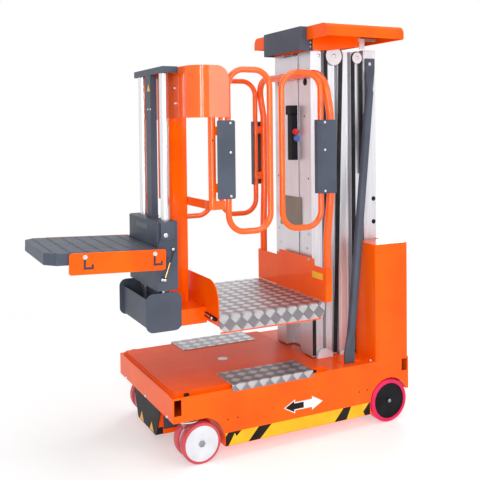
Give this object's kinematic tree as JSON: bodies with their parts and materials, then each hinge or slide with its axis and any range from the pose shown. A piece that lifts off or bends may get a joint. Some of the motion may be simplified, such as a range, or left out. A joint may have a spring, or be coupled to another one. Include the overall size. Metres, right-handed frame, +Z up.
{
  "type": "vertical mast lift",
  "caption": "Self-propelled vertical mast lift with a railed standing platform, telescopic mast, roof over the mast and a load tray that rides up a guide ahead of the rail.",
  "frame": {"origin": "on the floor below the middle of the overall length and width", "axes": "+X from the load tray towards the tower, +Y to the far side, +Z up"},
  "size_m": [1.7826, 0.762, 1.981],
  "materials": {
    "orange": "gloss powder coat",
    "anthracite": "satin powder coat",
    "tread_aluminium": "bar tread",
    "black_steel": "satin",
    "black_plastic": "matte",
    "aluminium": "anodised",
    "hose_rubber": "matte",
    "pale_plastic": "satin",
    "zinc_steel": "zinc plated",
    "front_tyre": "satin",
    "rear_tyre": "satin"
  },
  "bodies": {
    "chassis": {"chassis_hull": "orange", "deck_lid": "orange", "side_steps": "tread_aluminium", "front_guard": "black_steel", "beam_plates": "orange", "battery_pack": "black_plastic", "drive_units": "black_steel", "tower": "orange", "mast_section_fixed": "aluminium", "mast_braces": "anthracite", "brace_brackets": "orange", "hose_guides": "pale_plastic"},
    "mast_stage_3": {"mast_section_3": "aluminium", "hoses_3": "hose_rubber", "sheave_3": "pale_plastic"},
    "mast_stage_2": {"mast_section_2": "aluminium"},
    "mast_stage_1": {"mast_section_1": "aluminium", "hoses_1": "hose_rubber", "sheave_1": "pale_plastic"},
    "platform": {"mast_section_platform": "aluminium", "head_cover": "anthracite", "head_frame": "orange", "roof_wing": "orange", "platform_tread": "tread_aluminium", "platform_frame": "orange", "kick_plate_rear": "orange", "kick_plate_front": "orange", "handrail": "orange", "guard_frame": "orange", "guard_shield": "orange", "tray_column": "orange", "gate_hinges": "orange", "hinge_covers": "anthracite", "control_box": "black_plastic", "hose_platform": "hose_rubber", "tray_guides": "aluminium", "tray_channel": "anthracite", "tray_bracket": "anthracite", "tray_trough": "anthracite"},
    "tray_carriage": {"tray_carriage": "anthracite", "carriage_cheeks": "anthracite", "tray_struts": "black_steel"},
    "tray": {"tray_deck": "anthracite", "tray_arms": "anthracite", "tray_side_plates": "orange", "tray_bolts": "zinc_steel"},
    "gate_front_near": {"gate_front_near": "orange"},
    "gate_front_far": {"gate_front_far": "orange"},
    "gate_rear_near": {"gate_rear_near": "orange"},
    "gate_rear_far": {"gate_rear_far": "orange"},
    "caster_swivel_near": {"caster_fork_near": "zinc_steel"},
    "caster_wheel_near": {"caster_hubs_near": "pale_plastic", "caster_tyres_near": "front_tyre"},
    "drive_wheel_near": {"drive_wheel_near": "black_plastic", "drive_tyre_near": "rear_tyre"},
    "caster_swivel_far": {"caster_fork_far": "zinc_steel"},
    "caster_wheel_far": {"caster_hubs_far": "pale_plastic", "caster_tyres_far": "front_tyre"},
    "drive_wheel_far": {"drive_wheel_far": "black_plastic", "drive_tyre_far": "rear_tyre"}
  },
  "joints": [
    {"name": "mast_lift_3", "type": "slide", "parent": "chassis", "child": "mast_stage_3", "axis": [0, 0, 1], "range_m": [0, 1.34]},
    {"name": "mast_lift_2", "type": "slide", "parent": "mast_stage_3", "child": "mast_stage_2", "axis": [0, 0, 1], "range_m": [0, 1.34]},
    {"name": "mast_lift_1", "type": "slide", "parent": "mast_stage_2", "child": "mast_stage_1", "axis": [0, 0, 1], "range_m": [0, 1.34]},
    {"name": "mast_lift_platform", "type": "slide", "parent": "mast_stage_1", "child": "platform", "axis": [0, 0, 1], "range_m": [0, 1.34]},
    {"name": "tray_lift", "type": "slide", "parent": "platform", "child": "tray_carriage", "axis": [0, 0, 1], "range_m": [0, 0.66]},
    {"name": "tray_fold", "type": "hinge", "parent": "tray_carriage", "child": "tray", "pos_m": [-0.3437, 0, 1.002], "axis": [0, 1, 0], "range_deg": [0, 88]},
    {"name": "gate_front_near_hinge", "type": "hinge", "parent": "platform", "child": "gate_front_near", "pos_m": [-0.08871, -0.337, 1.2], "axis": [0, 0, 1], "range_deg": [0, 90]},
    {"name": "gate_front_far_hinge", "type": "hinge", "parent": "platform", "child": "gate_front_far", "pos_m": [-0.08871, 0.337, 1.2], "axis": [0, 0, -1], "range_deg": [0, 90]},
    {"name": "gate_rear_near_hinge", "type": "hinge", "parent": "platform", "child": "gate_rear_near", "pos_m": [0.4023, -0.337, 1.2], "axis": [0, 0, -1], "range_deg": [0, 75]},
    {"name": "gate_rear_far_hinge", "type": "hinge", "parent": "platform", "child": "gate_rear_far", "pos_m": [0.4023, 0.337, 1.2], "axis": [0, 0, 1], "range_deg": [0, 75]},
    {"name": "caster_swivel_near", "type": "hinge", "parent": "chassis", "child": "caster_swivel_near", "pos_m": [-0.2937, -0.314, 0.2], "axis": [0, 0, 1], "continuous": true},
    {"name": "caster_roll_near", "type": "hinge", "parent": "caster_swivel_near", "child": "caster_wheel_near", "pos_m": [-0.24871, -0.314, 0.092], "axis": [0, 1, 0], "continuous": true},
    {"name": "drive_roll_near", "type": "hinge", "parent": "chassis", "child": "drive_wheel_near", "pos_m": [0.77029, -0.348, 0.108], "axis": [0, 1, 0], "continuous": true},
    {"name": "caster_swivel_far", "type": "hinge", "parent": "chassis", "child": "caster_swivel_far", "pos_m": [-0.2937, 0.314, 0.2], "axis": [0, 0, 1], "continuous": true},
    {"name": "caster_roll_far", "type": "hinge", "parent": "caster_swivel_far", "child": "caster_wheel_far", "pos_m": [-0.24871, 0.314, 0.092], "axis": [0, 1, 0], "continuous": true},
    {"name": "drive_roll_far", "type": "hinge", "parent": "chassis", "child": "drive_wheel_far", "pos_m": [0.77029, 0.348, 0.108], "axis": [0, 1, 0], "continuous": true}
  ],
  "couplings": [
    {"joint": "mast_lift_2", "follows": "mast_lift_3", "ratio": 1},
    {"joint": "mast_lift_1", "follows": "mast_lift_3", "ratio": 1},
    {"joint": "mast_lift_platform", "follows": "mast_lift_3", "ratio": 1}
  ]
}
